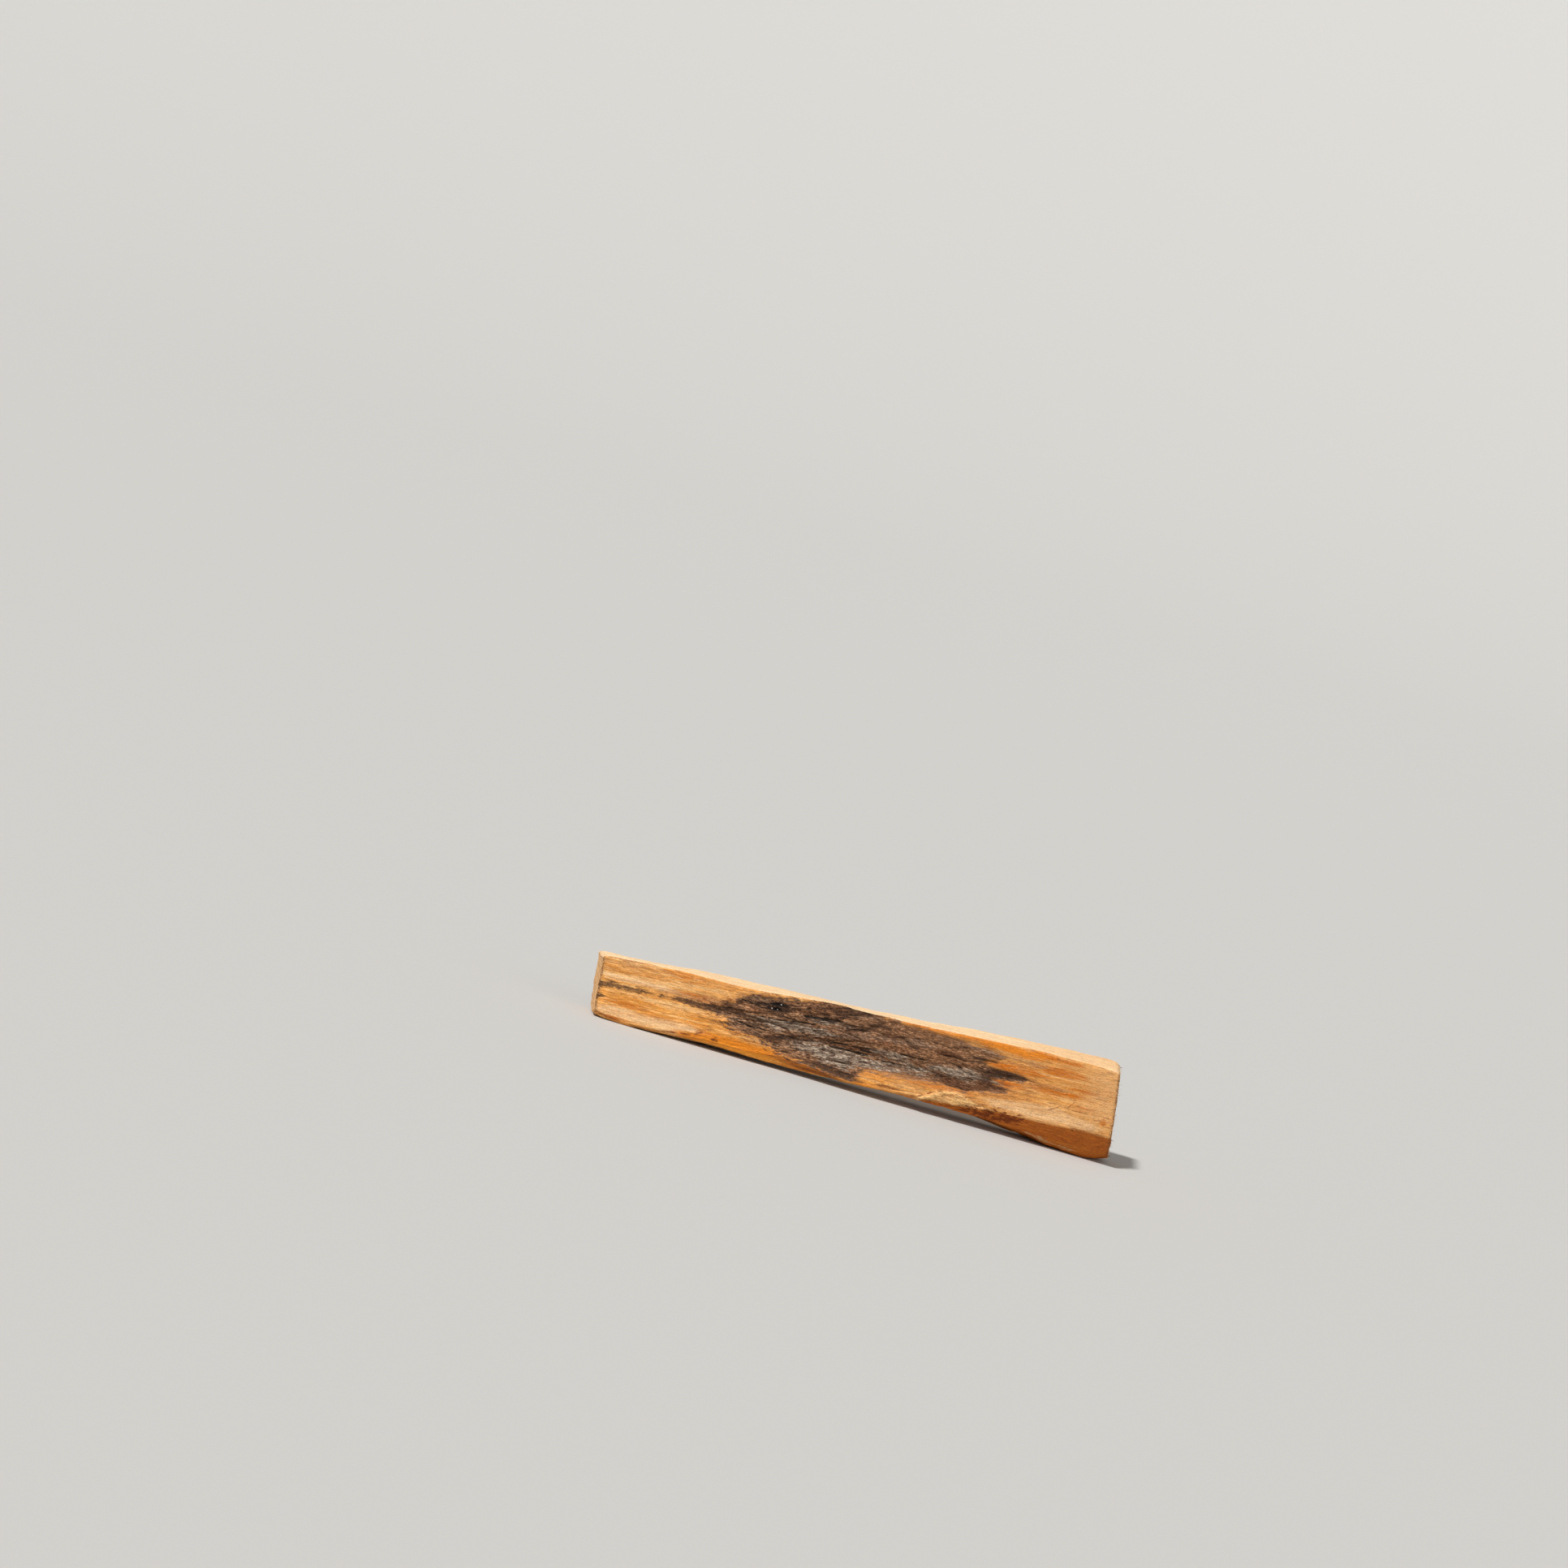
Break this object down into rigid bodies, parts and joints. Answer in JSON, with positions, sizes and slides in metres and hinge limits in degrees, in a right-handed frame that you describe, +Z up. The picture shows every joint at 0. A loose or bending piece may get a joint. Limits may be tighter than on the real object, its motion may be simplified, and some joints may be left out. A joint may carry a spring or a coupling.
{
  "type": "palo santo stick",
  "caption": "Split stick of aromatic heartwood, sawn across at both ends, with one broad face worn grey and hollow by weather.",
  "frame": {"origin": "under the middle of the stick, on the surface that it lies on", "axes": "+X along the grain towards the wide end, -Y out of the broad face with the weathered patch, +Z up"},
  "size_m": [0.1024, 0.0124, 0.0182],
  "materials": {
    "heartwood": "raw split and sawn wood, matt, with oily resin streaks and a grey weathered patch"
  },
  "bodies": {
    "root": {"stick": "heartwood"}
  },
  "joints": []
}
